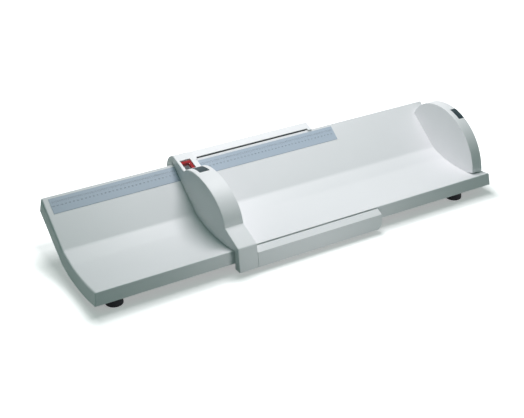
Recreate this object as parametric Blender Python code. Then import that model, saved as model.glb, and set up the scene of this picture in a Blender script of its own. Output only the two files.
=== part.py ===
"""Infant length measuring board.

A moulded tray on four feet carries a scale strip along its raised rear wall, a head piece that
clips on at the right-hand end, and a foot piece with two side guards that slides along the tray.

Metres, +Z up, +X towards the head piece, +Y towards the rear wall. Sections are drawn as (y, z)
points counted from the tray's front top edge. Finished pieces are then moved so that the origin
lies on the floor below the middle of the board.
"""

import math

import bmesh
import bpy

# Fits between pieces
SEAM = 0.0003               # gap where two pieces touch
SLIP = 0.0005               # gap around a piece that slides in a guide
CUT_PAST = 0.006            # how far a cutter runs past what it cuts

# Smoothness of round stretches
LONG_ARC_STEPS = 28
SHORT_ARC_STEPS = 18
CORNER_STEPS = 8
ROUND_SIDES = 32
SMALL_ROUND_SIDES = 16
TURN_STEPS = 48
SEARCH_STEPS = 40           # halvings when a crossing point is searched for
SMOOTH_ANGLE = math.radians(30)

# Tray, drawn from the front edge over the bed, up a ramp and up the rear wall
TRAY_LENGTH = 1.103
TRAY_WALL = 0.004
BED_DEPTH = 0.139
BED_FALL = 0.004
BED_DIP = 0.0055
BED_STEPS = 12
RAMP_DEPTH = 0.0434
RAMP_RISE = 0.0124
WALL_DEPTH = 0.1145
WALL_RISE = 0.0848
SKIRT_DROP = 0.0325
SKIRT_FLARE = 0.004

# Feet
FOOT_HEIGHT = 0.0235
FOOT_RADIUS = 0.021
FOOT_TAPER = 0.0025
FOOT_END_INSET = 0.052      # foot centre from the left end of the tray
FOOT_HEAD_INSET = 0.094     # foot centre from the head end of the tray
FOOT_FRONT_INSET = 0.0235   # foot centre from the front edge
FOOT_REAR_INSET = 0.1249    # foot centre from the rear edge
BOSS_RADIUS = 0.016
SCREW_RADIUS = 0.002
SCREW_HEAD_RADIUS = 0.0045
SCREW_HEAD_HEIGHT = 0.003
SCREW_LENGTH = 0.016
SCREW_RECESS = 0.014

# Scale strip
SCALE_LENGTH = 0.786
SCALE_END_MARGIN = 0.0155
SCALE_TOP_INSET = 0.0066    # below the rear edge, in plan
SCALE_WIDTH = 0.0319        # in plan
SCALE_THICKNESS = 0.0006

# End stops on the outside of the rear skirt
STOP_LENGTH = 0.006
STOP_MARGIN = 0.004
STOP_REACH = 0.008
STOP_HEIGHT = 0.016

# Head piece, two elliptic quarters that meet at the crest
HEAD_WIDTH = 0.0308
HEAD_END_MARGIN = 0.0087
HEAD_WALL = 0.003
HEAD_CREST_INSET = 0.1282   # crest in front of the rear edge
HEAD_CREST_RISE = 0.0396    # crest above the rear edge
HEAD_FRONT_BASE = -0.0145   # centre of the front quarter, below the front edge
HEAD_FRONT_REACH = 0.1508
HEAD_REAR_REACH = 0.107
HEAD_REAR_FALL = 0.078
HEAD_TOE_INSET = 0.001      # toe behind the front quarter's widest point
HEAD_TOE_LENGTH = 0.020
HEAD_TOE_LIFT = 0.0045

# Head key and its latch
KEY_THICKNESS = 0.006
KEY_TRAVEL = 0.003
HEAD_KEY_INSET = 0.0642     # front of the key in front of the crest
HEAD_KEY_LENGTH = 0.037
HEAD_KEY_WIDTH = 0.0175
STEM_RADIUS = 0.003
LATCH_INSET = 0.034         # pivot in front of the ramp
LATCH_PIVOT_Z = 0.045
LATCH_ARM = 0.025
LATCH_ARM_HALF = 0.004
LATCH_THICKNESS = 0.005
LATCH_WIDTH = 0.008
LATCH_BARB = 0.0045
LATCH_SWING_ROOM = 0.011
PIN_RADIUS = 0.002
PIN_PLAY = 0.0002
WEB_THICKNESS = 0.003
HEAD_WEB_DROP = 0.0478      # web below the crest
WEB_HALF_DEPTH = 0.013

# Foot piece
REST_READING = 0.672        # head face to foot face as it stands
SLIDE_WIDTH = 0.050
SLIDE_WALL = 0.003
RIDE_GAP = 0.0015           # foot piece above the tray
SLIDE_CREST_INSET = 0.1169  # crest in front of the rear edge
SLIDE_CREST_RISE = 0.0248   # crest above the rear edge
ARCH_FRONT_REACH = 0.140
ARCH_FRONT_FALL = 0.090
ARCH_REAR_REACH = 0.068
ARCH_REAR_FALL = 0.036
STEP_BACK_INSET = 0.001     # back of the step behind the arch's front end
STEP_FRONT_Y = -0.0213
STEP_FRONT_Z = 0.0141
FRONT_LEAN = 0.0077
FRONT_FOOT_DROP = 0.0125    # front foot below the front skirt
HOLLOW_FRONT_MARGIN = 0.006 # hollow of the arch behind the step
HOLLOW_REAR_MARGIN = 0.009  # hollow of the arch in front of the valley
VALLEY_INSET = 0.0559       # valley in front of the rear edge
HOOK_CENTRE_INSET = 0.0119
HOOK_CENTRE_DROP = 0.0232
HOOK_REACH = 0.0506
HOOK_RISE = 0.046
HOOK_FOOT_DROP = 0.0108     # hook foot below the rear skirt
GUIDE_GAP = 0.0021          # guide faces beside the skirts
LIP_THICKNESS = 0.003
LIP_REACH = 0.001           # lip end past the foot of the skirt's outer face

# Reading window
WINDOW_WIDTH = 0.028
WINDOW_SIDE = 0.008
WINDOW_INSET = 0.0025       # window behind the valley
WINDOW_DEPTH = 0.033
LEDGE_WIDTH = 0.002
LEDGE_DEPTH = 0.011
LENS_DEPTH = 0.0015
LENS_THICKNESS = 0.0015
INDEX_BAR = 0.008

# Brake
BRAKE_KEY_SIDE = 0.011      # key from the foot piece's measuring side
BRAKE_KEY_LENGTH = 0.041
BRAKE_KEY_WIDTH = 0.026
BRAKE_STEM_INSET = 0.025    # stem behind the crest
BRAKE_WEB_DROP = 0.050      # web below the crest
SHOE_LENGTH = 0.026
SHOE_WIDTH = 0.024
SHOE_DROP = 0.021           # top of the shoe below the web

# Springs
SPRING_RADIUS = 0.0048
SPRING_WIRE = 0.0012
SPRING_TURNS = 6
SPRING_POINTS = 10

# Guards
GUARD_LENGTH = 0.351
GUARD_WALL = 0.003
GUARD_PLUG = 0.014          # solid end that takes the joining pins
FRONT_GUARD_TOP = 0.0
FRONT_GUARD_FALL = 0.008
FRONT_CORNER = 0.011
REAR_SLOT = 0.0018          # gap between the rear edge and the rear guard's top, in plan
REAR_TOP_RISE = 0.0031      # front of the rear guard's top above the rear edge
REAR_SHOULDER = 0.0227      # where its top meets the hook's curve, behind the rear edge
REAR_NOSE = 0.0045          # its closed ends reach over the rear edge
REAR_GUIDE_DROP = 0.006     # top of its guide wall below the rear edge
REAR_GUARD_END = 0.011      # wall that closes its free end
REAR_CORNER = 0.009
JOIN_PIN_RADIUS = 0.002
JOIN_PIN_LENGTH = 0.018
JOIN_PIN_SPREAD = 0.016

# Glides
GLIDE_LENGTH = 0.030
GLIDE_SIDE_PLAY = 0.0008
GLIDE_DEPTH = SCALE_TOP_INSET - GLIDE_SIDE_PLAY
GLIDE_INSET = 0.006         # front glide behind the front edge
GLIDE_MARGIN = 0.028        # glides from the ends of a guard

# Worked-out places
EDGE_HEIGHT = SKIRT_DROP + FOOT_HEIGHT
TRAY_DEPTH = BED_DEPTH + RAMP_DEPTH + WALL_DEPTH
RAMP_TOP_Z = RAMP_RISE - BED_FALL
REAR_EDGE_Z = RAMP_TOP_Z + WALL_RISE
TRAY_END = TRAY_LENGTH / 2
HEAD_CREST_Y = TRAY_DEPTH - HEAD_CREST_INSET
HEAD_CREST_Z = REAR_EDGE_Z + HEAD_CREST_RISE
HEAD_TIP = HEAD_CREST_Y - HEAD_FRONT_REACH + HEAD_TOE_INSET
HEAD_KEY_FRONT = HEAD_CREST_Y - HEAD_KEY_INSET
HEAD_WEB_Z = HEAD_CREST_Z - HEAD_WEB_DROP
LATCH_PIVOT_Y = BED_DEPTH - LATCH_INSET
HEAD_STEM_Y = LATCH_PIVOT_Y + LATCH_ARM
HEAD_FACE_X = TRAY_END - HEAD_END_MARGIN - HEAD_WIDTH
HEAD_BACK_X = HEAD_FACE_X + HEAD_WIDTH
HEAD_KEY_X = HEAD_BACK_X - HEAD_KEY_WIDTH / 2
SLIDE_RIGHT_X = HEAD_FACE_X - REST_READING
SLIDE_LEFT_X = SLIDE_RIGHT_X - SLIDE_WIDTH
GUARD_START_X = SLIDE_RIGHT_X + SEAM
GUARD_END_X = SLIDE_RIGHT_X + GUARD_LENGTH
GUIDE_FRONT_Y = -SKIRT_FLARE - GUIDE_GAP
GUIDE_REAR_Y = TRAY_DEPTH + SKIRT_FLARE + GUIDE_GAP
SLIDE_CREST_Y = TRAY_DEPTH - SLIDE_CREST_INSET
SLIDE_CREST_Z = REAR_EDGE_Z + SLIDE_CREST_RISE
STEP_BACK_Y = SLIDE_CREST_Y - ARCH_FRONT_REACH + STEP_BACK_INSET
VALLEY_Y = TRAY_DEPTH - VALLEY_INSET
WINDOW_FRONT_Y = VALLEY_Y + WINDOW_INSET
REAR_SKIRT_Z = REAR_EDGE_Z - SKIRT_DROP
HOOK_CENTRE_Y = TRAY_DEPTH - HOOK_CENTRE_INSET
HOOK_CENTRE_Z = REAR_EDGE_Z - HOOK_CENTRE_DROP
HOOK_FOOT_Z = REAR_SKIRT_Z - HOOK_FOOT_DROP
HOOK_BACK_Y = HOOK_CENTRE_Y + HOOK_REACH
REAR_SLOT_Y = TRAY_DEPTH + REAR_SLOT
REAR_NOSE_Y = TRAY_DEPTH - REAR_NOSE
REAR_SHOULDER_Y = TRAY_DEPTH + REAR_SHOULDER
FRONT_FOOT_Z = -SKIRT_DROP - FRONT_FOOT_DROP
FRONT_FOOT_Y = STEP_FRONT_Y - FRONT_LEAN
FRONT_LIP_Y = -SKIRT_FLARE + LIP_REACH + TRAY_WALL / 2
REAR_LIP_Y = TRAY_DEPTH + SKIRT_FLARE - LIP_REACH - TRAY_WALL / 2
BRAKE_KEY_RIGHT = SLIDE_RIGHT_X - BRAKE_KEY_SIDE
BRAKE_KEY_X = BRAKE_KEY_RIGHT - BRAKE_KEY_WIDTH / 2
BRAKE_KEY_FRONT = SLIDE_CREST_Y + SLIP
BRAKE_STEM_Y = SLIDE_CREST_Y + BRAKE_STEM_INSET
BRAKE_WEB_Z = SLIDE_CREST_Z - BRAKE_WEB_DROP
SHOE_TOP_Z = BRAKE_WEB_Z - SHOE_DROP
FOOT_TOP_Z = -SKIRT_DROP
CENTRE_Y = (FRONT_FOOT_Y + HOOK_BACK_Y) / 2


# Sections

def tray_points():
    """Corner points of the tray's top line, front to rear."""
    points = []
    for step in range(BED_STEPS + 1):
        t = step / BED_STEPS
        points.append((BED_DEPTH * t, -BED_FALL * t - 4 * BED_DIP * t * (1 - t)))
    points.append((BED_DEPTH + RAMP_DEPTH, RAMP_TOP_Z))
    points.append((TRAY_DEPTH, REAR_EDGE_Z))
    return points


def tray_foot_points():
    """Lower edge of the skirts, one point below each point of the top line."""
    points = [(y, z - SKIRT_DROP) for y, z in tray_points()]
    points[0] = (-SKIRT_FLARE, points[0][1])
    points[-1] = (TRAY_DEPTH + SKIRT_FLARE, points[-1][1])
    return points


def line_height(points, y):
    """Height of a line of points at one depth, carried on straight past both ends."""
    spans = list(zip(points, points[1:]))
    span = spans[0]
    for candidate in spans:
        if y >= candidate[0][0]:
            span = candidate
    (y0, z0), (y1, z1) = span
    return z0 + (z1 - z0) * (y - y0) / (y1 - y0)


def tray_height(y):
    """Height of the tray's top line at one depth."""
    return line_height(tray_points(), y)


def tray_line(start, end, rise):
    """The tray's top line between two depths, moved up by rise."""
    inner = [y for y, _ in tray_points() if min(start, end) < y < max(start, end)]
    depths = [start] + sorted(inner, reverse=end < start) + [end]
    return [(y, tray_height(y) + rise) for y in depths]


def ellipse_between(centre, radii, start, end, steps):
    """Points on the upper half of an ellipse between two depths."""
    first = math.acos(max(-1.0, min(1.0, (start - centre[0]) / radii[0])))
    last = math.acos(max(-1.0, min(1.0, (end - centre[0]) / radii[0])))
    points = []
    for step in range(steps + 1):
        angle = first + (last - first) * step / steps
        points.append((centre[0] + radii[0] * math.cos(angle), centre[1] + radii[1] * math.sin(angle)))
    return points


def ellipse_height(centre, radii, y):
    """Height of the upper half of an ellipse at one depth."""
    share = (y - centre[0]) / radii[0]
    return centre[1] + radii[1] * math.sqrt(max(0.0, 1 - share * share))


def head_quarters(inset):
    """Centres and radii of the head piece's front and rear quarters."""
    front = ((HEAD_CREST_Y, HEAD_FRONT_BASE),
             (HEAD_FRONT_REACH - inset, HEAD_CREST_Z - HEAD_FRONT_BASE - inset))
    rear = ((HEAD_CREST_Y, HEAD_CREST_Z - HEAD_REAR_FALL),
            (HEAD_REAR_REACH - inset, HEAD_REAR_FALL - inset))
    return front, rear


def arch_quarters(inset):
    """Centres and radii of the foot piece's front and rear quarters."""
    front = ((SLIDE_CREST_Y, SLIDE_CREST_Z - ARCH_FRONT_FALL),
             (ARCH_FRONT_REACH - inset, ARCH_FRONT_FALL - inset))
    rear = ((SLIDE_CREST_Y, SLIDE_CREST_Z - ARCH_REAR_FALL),
            (ARCH_REAR_REACH - inset, ARCH_REAR_FALL - inset))
    return front, rear


def head_rear_tip(inset, rise):
    """Depth where the head piece's rear quarter comes down to the tray."""
    centre, radii = head_quarters(inset)[1]
    low = HEAD_CREST_Y
    high = HEAD_CREST_Y + radii[0]
    for _ in range(SEARCH_STEPS):
        middle = (low + high) / 2
        if ellipse_height(centre, radii, middle) > tray_height(middle) + rise:
            low = middle
        else:
            high = middle
    return low


def head_outline():
    """Leaf-shaped side view of the head piece, standing on the tray."""
    front, rear = head_quarters(0.0)
    tip = head_rear_tip(0.0, SEAM)
    toe_end = HEAD_TIP + HEAD_TOE_LENGTH
    outline = ellipse_between(*front, HEAD_TIP, HEAD_CREST_Y, LONG_ARC_STEPS)
    outline += ellipse_between(*rear, HEAD_CREST_Y, tip, SHORT_ARC_STEPS)[1:]
    outline += tray_line(tip, toe_end, SEAM)[1:]
    outline.append((HEAD_TIP, tray_height(HEAD_TIP) + HEAD_TOE_LIFT))
    return outline


def head_hollow():
    """Inside of the head piece, open towards the tray."""
    front, rear = head_quarters(HEAD_WALL)
    start = HEAD_TIP + HEAD_TOE_LENGTH
    tip = head_rear_tip(HEAD_WALL, SEAM)
    outline = ellipse_between(*front, start, HEAD_CREST_Y, LONG_ARC_STEPS)
    outline += ellipse_between(*rear, HEAD_CREST_Y, tip, SHORT_ARC_STEPS)[1:]
    outline += tray_line(tip, start, -TRAY_WALL)
    return outline


def arch_line(start, end, inset, steps):
    """Top of the foot piece's arch between two depths, front to rear over the crest."""
    front, rear = arch_quarters(inset)
    points = ellipse_between(*front, start, min(end, SLIDE_CREST_Y), steps)
    if end > SLIDE_CREST_Y:
        points += ellipse_between(*rear, SLIDE_CREST_Y, end, steps)[1:]
    return points


def hook_line(start, inset, steps):
    """Back of the hook behind the rear edge, from its crest down to its widest point."""
    centre = (HOOK_CENTRE_Y, HOOK_CENTRE_Z)
    radii = (HOOK_REACH - inset, HOOK_RISE - inset)
    return ellipse_between(centre, radii, start, HOOK_BACK_Y - inset, steps)


def front_face_y(z):
    """Depth of the leaning front face at one height."""
    share = (STEP_FRONT_Z - z) / (STEP_FRONT_Z - FRONT_FOOT_Z)
    return STEP_FRONT_Y - FRONT_LEAN * share


def slide_outline():
    """Side view of the foot piece, wrapped round the tray from its front skirt to its rear skirt."""
    outline = [(FRONT_FOOT_Y, FRONT_FOOT_Z), (STEP_FRONT_Y, STEP_FRONT_Z)]
    outline += arch_line(STEP_BACK_Y, VALLEY_Y, 0.0, LONG_ARC_STEPS)
    outline += hook_line(TRAY_DEPTH, 0.0, SHORT_ARC_STEPS)
    outline.append((HOOK_BACK_Y, HOOK_FOOT_Z))
    outline.append((REAR_LIP_Y, HOOK_FOOT_Z))
    outline.append((REAR_LIP_Y, HOOK_FOOT_Z + LIP_THICKNESS))
    outline.append((GUIDE_REAR_Y, HOOK_FOOT_Z + LIP_THICKNESS))
    outline += tray_line(GUIDE_REAR_Y, GUIDE_FRONT_Y, RIDE_GAP)
    outline.append((GUIDE_FRONT_Y, FRONT_FOOT_Z))
    return outline


def slide_hollow():
    """Inside of the arch, open towards the tray."""
    start = STEP_BACK_Y + HOLLOW_FRONT_MARGIN
    end = VALLEY_Y - HOLLOW_REAR_MARGIN
    outline = arch_line(start, end, SLIDE_WALL, LONG_ARC_STEPS)
    outline += tray_line(end, start, -TRAY_WALL)
    return outline


def front_guard_outline():
    """Section of the front guard as a full block with its lip under the front skirt."""
    top_front = FRONT_GUARD_TOP - FRONT_GUARD_FALL
    return [
        (GUIDE_FRONT_Y, FRONT_GUARD_TOP),
        (front_face_y(top_front), top_front),
        (FRONT_FOOT_Y, FRONT_FOOT_Z),
        (FRONT_LIP_Y, FRONT_FOOT_Z),
        (FRONT_LIP_Y, FRONT_FOOT_Z + LIP_THICKNESS),
        (GUIDE_FRONT_Y, FRONT_FOOT_Z + LIP_THICKNESS),
    ]


def front_guard_hollow():
    """Channel inside the front guard, open towards the front skirt."""
    top_front = FRONT_GUARD_TOP - FRONT_GUARD_FALL
    floor = FRONT_FOOT_Z + LIP_THICKNESS
    return [
        (FRONT_LIP_Y, FRONT_GUARD_TOP - GUARD_WALL),
        (GUIDE_FRONT_Y, FRONT_GUARD_TOP - GUARD_WALL),
        (front_face_y(top_front) + GUARD_WALL, top_front - GUARD_WALL),
        (front_face_y(floor) + GUARD_WALL, floor),
        (FRONT_LIP_Y, floor),
    ]


def rear_guard_top(y):
    """Height of the rear guard's sloping top, between the slot and the hook's curve."""
    low = REAR_EDGE_Z + REAR_TOP_RISE
    high = ellipse_height((HOOK_CENTRE_Y, HOOK_CENTRE_Z), (HOOK_REACH, HOOK_RISE), REAR_SHOULDER_Y)
    return low + (high - low) * (y - REAR_SLOT_Y) / (REAR_SHOULDER_Y - REAR_SLOT_Y)


def rear_guard_outline():
    """Section of the rear guard as a full block over and behind the rear edge."""
    outline = [(REAR_NOSE_Y, rear_guard_top(REAR_NOSE_Y))]
    outline += hook_line(REAR_SHOULDER_Y, 0.0, SHORT_ARC_STEPS)
    outline += [
        (HOOK_BACK_Y, HOOK_FOOT_Z),
        (REAR_LIP_Y, HOOK_FOOT_Z),
        (REAR_LIP_Y, HOOK_FOOT_Z + LIP_THICKNESS),
        (GUIDE_REAR_Y, HOOK_FOOT_Z + LIP_THICKNESS),
        (GUIDE_REAR_Y, REAR_EDGE_Z + RIDE_GAP),
    ]
    outline += tray_line(TRAY_DEPTH, REAR_NOSE_Y, RIDE_GAP)
    return outline


def rear_guard_hollow():
    """Channel inside the rear guard, with its slot above the guide wall."""
    mouth = REAR_NOSE_Y - CUT_PAST
    floor = HOOK_FOOT_Z + LIP_THICKNESS
    guide_back = GUIDE_REAR_Y + GUARD_WALL
    guide_top = REAR_EDGE_Z - REAR_GUIDE_DROP
    outline = [
        (mouth, tray_height(mouth) - TRAY_WALL),
        (mouth, rear_guard_top(mouth) + CUT_PAST),
        (REAR_SLOT_Y, rear_guard_top(REAR_SLOT_Y) + CUT_PAST),
        (REAR_SLOT_Y, rear_guard_top(REAR_SLOT_Y) - GUARD_WALL),
    ]
    outline += hook_line(REAR_SHOULDER_Y, GUARD_WALL, SHORT_ARC_STEPS)
    outline += [
        (HOOK_BACK_Y - GUARD_WALL, floor),
        (guide_back, floor),
        (guide_back, guide_top),
        (GUIDE_REAR_Y, guide_top),
    ]
    return outline


def arm_top(y):
    """Height of the arm's sloping top over the rear wall."""
    valley = ellipse_height(*arch_quarters(0.0)[1], VALLEY_Y)
    top = ellipse_height((HOOK_CENTRE_Y, HOOK_CENTRE_Z), (HOOK_REACH, HOOK_RISE), TRAY_DEPTH)
    return valley + (top - valley) * (y - VALLEY_Y) / (TRAY_DEPTH - VALLEY_Y)


def arm_band(start, end, shallow, deep):
    """Band of a given depth range under the arm's top, between two depths of the board."""
    return [
        (start, arm_top(start) - shallow),
        (end, arm_top(end) - shallow),
        (end, arm_top(end) - deep),
        (start, arm_top(start) - deep),
    ]


# Building tools

def clear_scene():
    """Remove whatever the scene holds."""
    for item in list(bpy.data.objects):
        bpy.data.objects.remove(item, do_unlink=True)


def finish(name, colour, roughness, metallic=0.0, alpha=1.0):
    """A Principled material for one kind of surface."""
    material = bpy.data.materials.new(name)
    material.use_nodes = True
    shader = material.node_tree.nodes["Principled BSDF"]
    shader.inputs["Base Color"].default_value = (*colour, 1.0)
    shader.inputs["Roughness"].default_value = roughness
    shader.inputs["Metallic"].default_value = metallic
    shader.inputs["Alpha"].default_value = alpha
    return material


def form(bm):
    """A scene object from a finished bmesh."""
    bmesh.ops.recalc_face_normals(bm, faces=bm.faces)
    mesh = bpy.data.meshes.new("form")
    bm.to_mesh(mesh)
    bm.free()
    shape = bpy.data.objects.new("form", mesh)
    bpy.context.scene.collection.objects.link(shape)
    return shape


def along(axis, a, b, s):
    """A point with s along the named axis and (a, b) on the other two."""
    return {"X": (s, a, b), "Y": (a, s, b), "Z": (a, b, s)}[axis]


def prism(outline, low, high, axis="X"):
    """A closed outline extruded between two places along an axis."""
    bm = bmesh.new()
    face = bm.faces.new([bm.verts.new(along(axis, a, b, low)) for a, b in outline])
    grown = bmesh.ops.extrude_face_region(bm, geom=[face])
    moved = [item for item in grown["geom"] if isinstance(item, bmesh.types.BMVert)]
    bmesh.ops.translate(bm, verts=moved, vec=along(axis, 0.0, 0.0, high - low))
    return form(bm)


def block(low, high):
    """A box between two corners."""
    outline = [(low[1], low[2]), (high[1], low[2]), (high[1], high[2]), (low[1], high[2])]
    return prism(outline, low[0], high[0])


def rod(centre, radius, low, high, axis="Z", sides=ROUND_SIDES):
    """A round bar along an axis, centred on two cross coordinates."""
    outline = []
    for side in range(sides):
        angle = 2 * math.pi * side / sides
        outline.append((centre[0] + radius * math.cos(angle), centre[1] + radius * math.sin(angle)))
    return prism(outline, low, high, axis)


def turned(profile, centre, closed, steps=TURN_STEPS):
    """A (radius, z) profile turned about an upright axis."""
    bm = bmesh.new()
    verts = [bm.verts.new((radius, 0.0, z)) for radius, z in profile]
    pairs = list(zip(verts, verts[1:]))
    if closed:
        pairs.append((verts[-1], verts[0]))
    edges = [bm.edges.new(pair) for pair in pairs]
    bmesh.ops.spin(bm, geom=verts + edges, cent=(0, 0, 0), axis=(0, 0, 1), dvec=(0, 0, 0),
                   angle=2 * math.pi, steps=steps, use_merge=True, use_duplicate=False)
    bmesh.ops.remove_doubles(bm, verts=bm.verts, dist=1e-6)
    bmesh.ops.translate(bm, verts=bm.verts, vec=(*centre, 0.0))
    return form(bm)


def trough(top, bottom, half_top, half_bottom):
    """A solid between two matching lines, the same at both ends, with leaning end faces."""
    bm = bmesh.new()
    upper = [bm.verts.new((-half_top, y, z)) for y, z in top]
    lower = [bm.verts.new((-half_bottom, y, z)) for y, z in bottom]
    faces = []
    for k in range(len(top) - 1):
        faces.append(bm.faces.new((upper[k], upper[k + 1], lower[k + 1], lower[k])))
    grown = bmesh.ops.extrude_face_region(bm, geom=faces)
    for item in grown["geom"]:
        if isinstance(item, bmesh.types.BMVert):
            item.co.x = -item.co.x
    return form(bm)


def combine(body, tools, operation):
    """Apply Booleans to a shape, one tool after another, and drop the tools."""
    for tool in tools:
        change = body.modifiers.new("change", "BOOLEAN")
        change.operation = operation
        change.solver = "EXACT"
        change.object = tool
        seen = body.evaluated_get(bpy.context.evaluated_depsgraph_get())
        mesh = bpy.data.meshes.new_from_object(seen)
        body.modifiers.clear()
        body.data = mesh
        bpy.data.objects.remove(tool, do_unlink=True)
    return body


def cut(body, *tools):
    """Take the tools out of a shape."""
    return combine(body, tools, "DIFFERENCE")


def join(body, *tools):
    """Fuse overlapping shapes into one body."""
    return combine(body, tools, "UNION")


def name_piece(shape, name, material, origin=(0.0, 0.0, 0.0)):
    """Name a finished shape, give it its material and stand it in the board's own frame."""
    shape.name = name
    shape.data.name = name
    shape.data.materials.clear()
    shape.data.materials.append(material)
    if shape.type == "MESH":
        for vertex in shape.data.vertices:
            vertex.co.x -= origin[0]
            vertex.co.y -= origin[1]
            vertex.co.z -= origin[2]
        shape.data.shade_smooth()
        shape.data.set_sharp_from_angle(angle=SMOOTH_ANGLE)
    shape.location = (origin[0], origin[1] - CENTRE_Y, origin[2] + EDGE_HEIGHT)
    return shape


# Pieces that stay with the board

def foot_places():
    """Names and (x, y) centres of the feet."""
    left = -TRAY_END + FOOT_END_INSET
    right = TRAY_END - FOOT_HEAD_INSET
    return {
        "front_left": (left, FOOT_FRONT_INSET),
        "front_right": (right, FOOT_FRONT_INSET),
        "rear_left": (left, TRAY_DEPTH - FOOT_REAR_INSET),
        "rear_right": (right, TRAY_DEPTH - FOOT_REAR_INSET),
    }


def latch_slot():
    """Opening in the bed for the head piece's latch."""
    half = LATCH_WIDTH / 2 + 2 * SLIP
    back = LATCH_PIVOT_Y + LATCH_THICKNESS / 2 + SLIP
    front = back - LATCH_THICKNESS - LATCH_SWING_ROOM
    level = tray_height(LATCH_PIVOT_Y)
    low = (HEAD_KEY_X - half, front, level - TRAY_WALL - CUT_PAST)
    high = (HEAD_KEY_X + half, back, level + CUT_PAST)
    return block(low, high)


def foot_boss(x, y):
    """Post over a foot whose top follows the middle of the tray's wall."""
    reach = BOSS_RADIUS + CUT_PAST
    middle = tray_line(y - reach, y + reach, -TRAY_WALL / 2)
    top = max(z for _, z in middle) + CUT_PAST
    above = middle + [(y + reach, top), (y - reach, top)]
    post = rod((x, y), BOSS_RADIUS, FOOT_TOP_Z, top - SEAM)
    return cut(post, prism(above, x - reach, x + reach))


def make_tray(material):
    """Shell with a skirt all round, screw bosses below and a slot for the latch."""
    shell = trough(tray_points(), tray_foot_points(), TRAY_END, TRAY_END + SKIRT_FLARE)

    inner_top = tray_line(TRAY_WALL, TRAY_DEPTH - TRAY_WALL, -TRAY_WALL)
    inner_bottom = [(y, z - SKIRT_DROP) for y, z in inner_top]
    inner_bottom[0] = (TRAY_WALL - SKIRT_FLARE, inner_bottom[0][1])
    inner_bottom[-1] = (TRAY_DEPTH - TRAY_WALL + SKIRT_FLARE, inner_bottom[-1][1])
    end = TRAY_END - TRAY_WALL
    shell = cut(shell, trough(inner_top, inner_bottom, end, end + SKIRT_FLARE))

    for x, y in foot_places().values():
        shell = join(shell, foot_boss(x, y))
    holes = []
    for place in foot_places().values():
        hole_top = FOOT_TOP_Z + SCREW_LENGTH
        hole_low = FOOT_TOP_Z - CUT_PAST
        holes.append(rod(place, SCREW_RADIUS + SEAM, hole_low, hole_top, sides=SMALL_ROUND_SIDES))
    shell = cut(shell, *holes, latch_slot())
    name_piece(shell, "tray", material)


def make_scale_strip(material):
    """Thin strip on the rear wall below its top edge."""
    back = TRAY_DEPTH - SCALE_TOP_INSET
    front = back - SCALE_WIDTH
    low = tray_line(front, back, SEAM)
    high = tray_line(back, front, SEAM + SCALE_THICKNESS)
    start = -TRAY_END + SCALE_END_MARGIN
    name_piece(prism(low + high, start, start + SCALE_LENGTH), "scale_strip", material)


def make_feet(rubber, steel):
    """Rubber feet, each held up in its boss by a screw from below."""
    floor = -EDGE_HEIGHT
    roof = FOOT_TOP_Z - SEAM
    shelf = floor + SCREW_RECESS
    bore = SCREW_RADIUS + SEAM
    wide = SCREW_HEAD_RADIUS + SEAM
    foot = [(bore, roof), (FOOT_RADIUS - FOOT_TAPER, roof), (FOOT_RADIUS, floor), (wide, floor),
            (wide, shelf), (bore, shelf)]
    head_top = shelf - SEAM
    head_low = head_top - SCREW_HEAD_HEIGHT
    tip = FOOT_TOP_Z + SCREW_LENGTH - SEAM
    screw = [(0.0, tip), (SCREW_RADIUS, tip - SCREW_RADIUS), (SCREW_RADIUS, head_top),
             (SCREW_HEAD_RADIUS, head_top), (SCREW_HEAD_RADIUS, head_low), (0.0, head_low)]
    for place, centre in foot_places().items():
        name_piece(turned(foot, centre, True), "foot_" + place, rubber)
        name_piece(turned(screw, centre, False, SMALL_ROUND_SIDES), "foot_screw_" + place, steel)


def make_stops(material):
    """Blocks behind the rear skirt that end the foot piece's travel."""
    low_z = REAR_SKIRT_Z + SEAM
    high_z = low_z + STOP_HEIGHT
    face_low = TRAY_DEPTH + SKIRT_FLARE * (REAR_EDGE_Z - low_z) / SKIRT_DROP + SEAM
    face_high = TRAY_DEPTH + SKIRT_FLARE * (REAR_EDGE_Z - high_z) / SKIRT_DROP + SEAM
    outline = [(face_low, low_z), (face_low + STOP_REACH, low_z), (face_low + STOP_REACH, high_z),
               (face_high, high_z)]
    starts = {"left": -TRAY_END + STOP_MARGIN, "right": TRAY_END - STOP_MARGIN - STOP_LENGTH}
    for side, start in starts.items():
        name_piece(prism(outline, start, start + STOP_LENGTH), "end_stop_" + side, material)


def key_plate(line, thickness, low, high):
    """A plate that follows a curved top line."""
    under = [(y, z - thickness) for y, z in reversed(line)]
    return prism(line + under, low, high)


def head_arc(start, end):
    """Top of the head piece's front quarter between two depths."""
    return ellipse_between(*head_quarters(0.0)[0], start, end, SHORT_ARC_STEPS)


def key_notch(line, low, high):
    """Cutter for a key's seat, with room for its travel."""
    raised = [(y, z + CUT_PAST) for y, z in line]
    return key_plate(raised, CUT_PAST + KEY_THICKNESS + KEY_TRAVEL + SLIP, low, high)


def guide_web(centre, low_x, high_x, low_z):
    """Shelf across a hollow that guides a key's stem."""
    low = (low_x, centre - WEB_HALF_DEPTH, low_z)
    high = (high_x, centre + WEB_HALF_DEPTH, low_z + WEB_THICKNESS)
    return block(low, high)


def stem_hole(place, low_z):
    """Cutter for a stem's hole in its web."""
    top = low_z + WEB_THICKNESS + CUT_PAST
    return rod(place, STEM_RADIUS + SLIP, low_z - CUT_PAST, top, sides=SMALL_ROUND_SIDES)


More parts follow.
